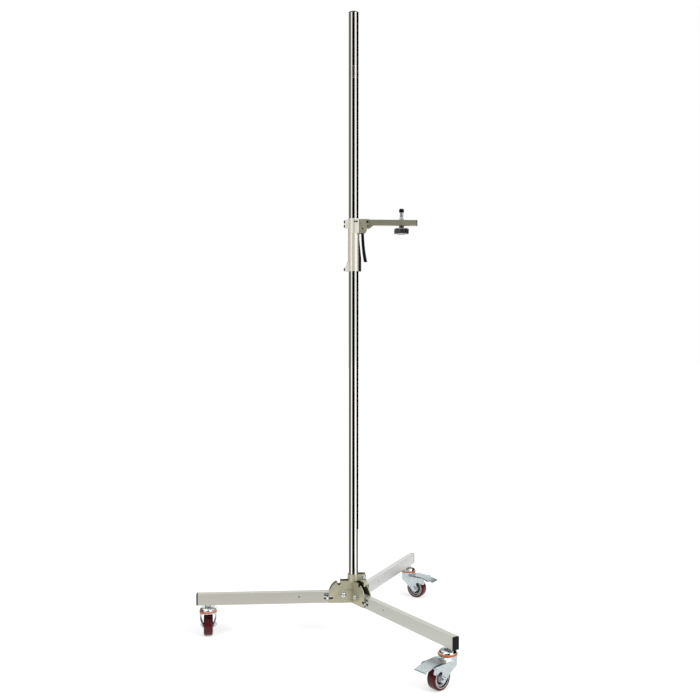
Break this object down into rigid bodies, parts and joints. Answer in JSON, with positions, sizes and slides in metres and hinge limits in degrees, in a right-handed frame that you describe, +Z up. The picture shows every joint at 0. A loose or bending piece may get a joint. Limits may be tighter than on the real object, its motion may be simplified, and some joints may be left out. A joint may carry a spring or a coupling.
{
  "type": "light stand",
  "caption": "Rolling column light stand with folding legs on locking casters and a squeeze-grip carriage that slides along the column and carries an arm with a stud.",
  "frame": {"origin": "on the floor under the column's axis, at the centre of the three legs", "axes": "+Z up along the column, +X along the carriage's arm, away from the left leg; +Y by the right-hand rule, towards the back leg's side"},
  "size_m": [0.9186, 1.0191, 2.19],
  "materials": {
    "column_chrome": "polished nickel-chrome plating",
    "joint_steel": "polished bright steel",
    "black_nylon": "moulded black nylon",
    "core_aluminium": "cast",
    "hub_paint": "satin champagne olive plating",
    "zinc_bolts": "bright zinc plating",
    "leg_nickel": "satin nickel over drawn tube",
    "plunger_chrome": "polished",
    "spring_steel": "drawn wire",
    "dome_chrome": "polished",
    "seal_plastic": "moulded orange",
    "fork_zinc": "blue zinc plating",
    "core_nylon": "moulded dark grey",
    "tread_urethane": "cast maroon polyurethane",
    "sleeve_anodised": "satin champagne anodised",
    "bush_acetal": "turned acetal",
    "black_screws": "black oxide",
    "shoe_rubber": "moulded",
    "arm_paint": "satin dark olive plating",
    "lever_plastic": "dipped black vinyl over steel",
    "stud_steel": "turned bright steel",
    "knob_plastic": "moulded black phenolic"
  },
  "bodies": {
    "frame": {"column_lower_tube": "column_chrome", "column_upper_tube": "column_chrome", "column_joint": "joint_steel", "column_top_plug": "black_nylon", "hub_core": "core_aluminium", "hub_plate_front": "hub_paint", "hub_plate_rear": "hub_paint", "hub_plate_side": "hub_paint", "hub_bolts": "zinc_bolts"},
    "leg_left": {"leg_tube_left": "leg_nickel", "leg_cap_left": "black_nylon", "lock_spring_left": "spring_steel", "spring_pin_left": "spring_steel", "caster_stem_left": "zinc_bolts", "caster_dome_left": "dome_chrome"},
    "lock_left": {"lock_plunger_left": "plunger_chrome"},
    "caster_left": {"caster_fork_left": "fork_zinc", "caster_seal_left": "seal_plastic", "caster_axle_left": "zinc_bolts"},
    "wheel_left": {"wheel_core_left": "core_nylon", "wheel_tread_left": "tread_urethane"},
    "pedal_left": {"brake_pedal_left": "fork_zinc"},
    "leg_front": {"leg_tube_front": "leg_nickel", "leg_cap_front": "black_nylon", "lock_spring_front": "spring_steel", "spring_pin_front": "spring_steel", "caster_stem_front": "zinc_bolts", "caster_dome_front": "dome_chrome"},
    "lock_front": {"lock_plunger_front": "plunger_chrome"},
    "caster_front": {"caster_fork_front": "fork_zinc", "caster_seal_front": "seal_plastic", "caster_axle_front": "zinc_bolts"},
    "wheel_front": {"wheel_core_front": "core_nylon", "wheel_tread_front": "tread_urethane"},
    "pedal_front": {"brake_pedal_front": "fork_zinc"},
    "leg_back": {"leg_tube_back": "leg_nickel", "leg_cap_back": "black_nylon", "lock_spring_back": "spring_steel", "spring_pin_back": "spring_steel", "caster_stem_back": "zinc_bolts", "caster_dome_back": "dome_chrome"},
    "lock_back": {"lock_plunger_back": "plunger_chrome"},
    "caster_back": {"caster_fork_back": "fork_zinc", "caster_seal_back": "seal_plastic", "caster_axle_back": "zinc_bolts"},
    "wheel_back": {"wheel_core_back": "core_nylon", "wheel_tread_back": "tread_urethane"},
    "pedal_back": {"brake_pedal_back": "fork_zinc"},
    "guide": {"guide_bushes": "bush_acetal"},
    "carriage": {"carriage_sleeve": "sleeve_anodised", "carriage_fasteners": "black_screws", "brake_shoe": "shoe_rubber", "arm_bracket": "arm_paint", "arm": "arm_paint", "arm_end_cap": "black_nylon", "lever_spring": "spring_steel", "stud": "stud_steel", "stud_cap": "black_nylon"},
    "lever": {"squeeze_lever": "lever_plastic"},
    "knob": {"clamp_knob": "knob_plastic"}
  },
  "joints": [
    {"name": "leg_fold_left", "type": "hinge", "parent": "frame", "child": "leg_left", "pos_m": [-0.037, 0, 0.15], "axis": [0, 1, 0], "range_deg": [0, 84]},
    {"name": "lock_slide_left", "type": "slide", "parent": "leg_left", "child": "lock_left", "axis": [-1, 0, 0], "range_m": [-0.0155, 0]},
    {"name": "caster_swivel_left", "type": "hinge", "parent": "leg_left", "child": "caster_left", "pos_m": [-0.511, 0, 0.09], "axis": [0, 0, 1], "continuous": true},
    {"name": "wheel_roll_left", "type": "hinge", "parent": "caster_left", "child": "wheel_left", "pos_m": [-0.51449, 0.03985, 0.0375], "axis": [-0.9962, -0.0872, 0], "continuous": true},
    {"name": "brake_pedal_left", "type": "hinge", "parent": "caster_left", "child": "pedal_left", "pos_m": [-0.5151, 0.04682, 0.0788], "axis": [-0.9962, -0.0872, 0], "range_deg": [0, 7]},
    {"name": "leg_fold_front", "type": "hinge", "parent": "frame", "child": "leg_front", "pos_m": [0.0185, -0.03204, 0.15], "axis": [-0.866, -0.5, 0], "range_deg": [0, 84]},
    {"name": "lock_slide_front", "type": "slide", "parent": "leg_front", "child": "lock_front", "axis": [0.5, -0.866, 0], "range_m": [-0.0155, 0]},
    {"name": "caster_swivel_front", "type": "hinge", "parent": "leg_front", "child": "caster_front", "pos_m": [0.2555, -0.44254, 0.09], "axis": [0, 0, 1], "continuous": true},
    {"name": "wheel_roll_front", "type": "hinge", "parent": "caster_front", "child": "wheel_front", "pos_m": [0.22398, -0.46716, 0.0375], "axis": [0.6157, -0.788, 0], "continuous": true},
    {"name": "brake_pedal_front", "type": "hinge", "parent": "caster_front", "child": "pedal_front", "pos_m": [0.21846, -0.47147, 0.0788], "axis": [0.6157, -0.788, 0], "range_deg": [0, 7]},
    {"name": "leg_fold_back", "type": "hinge", "parent": "frame", "child": "leg_back", "pos_m": [0.0185, 0.03204, 0.15], "axis": [0.866, -0.5, 0], "range_deg": [0, 84]},
    {"name": "lock_slide_back", "type": "slide", "parent": "leg_back", "child": "lock_back", "axis": [0.5, 0.866, 0], "range_m": [-0.0155, 0]},
    {"name": "caster_swivel_back", "type": "hinge", "parent": "leg_back", "child": "caster_back", "pos_m": [0.2555, 0.44254, 0.09], "axis": [0, 0, 1], "continuous": true},
    {"name": "wheel_roll_back", "type": "hinge", "parent": "caster_back", "child": "wheel_back", "pos_m": [0.28745, 0.41847, 0.0375], "axis": [0.6018, 0.7986, 0], "continuous": true},
    {"name": "brake_pedal_back", "type": "hinge", "parent": "caster_back", "child": "pedal_back", "pos_m": [0.29304, 0.41425, 0.0788], "axis": [0.6018, 0.7986, 0], "range_deg": [0, 7]},
    {"name": "carriage_slide", "type": "slide", "parent": "frame", "child": "guide", "axis": [0, 0, 1], "range_m": [-1.02, 0.7]},
    {"name": "carriage_turn", "type": "hinge", "parent": "guide", "child": "carriage", "pos_m": [0, 0, 1.38], "axis": [0, 0, 1], "continuous": true},
    {"name": "squeeze_lever", "type": "hinge", "parent": "carriage", "child": "lever", "pos_m": [0.031, 0, 1.438], "axis": [0, 1, 0], "range_deg": [0, 3], "stiffness_Nm_per_rad": 20, "springref_deg": -1.72},
    {"name": "knob_turn", "type": "hinge", "parent": "carriage", "child": "knob", "pos_m": [0.169, 0, 1.43], "axis": [0, 0, 1], "continuous": true}
  ]
}
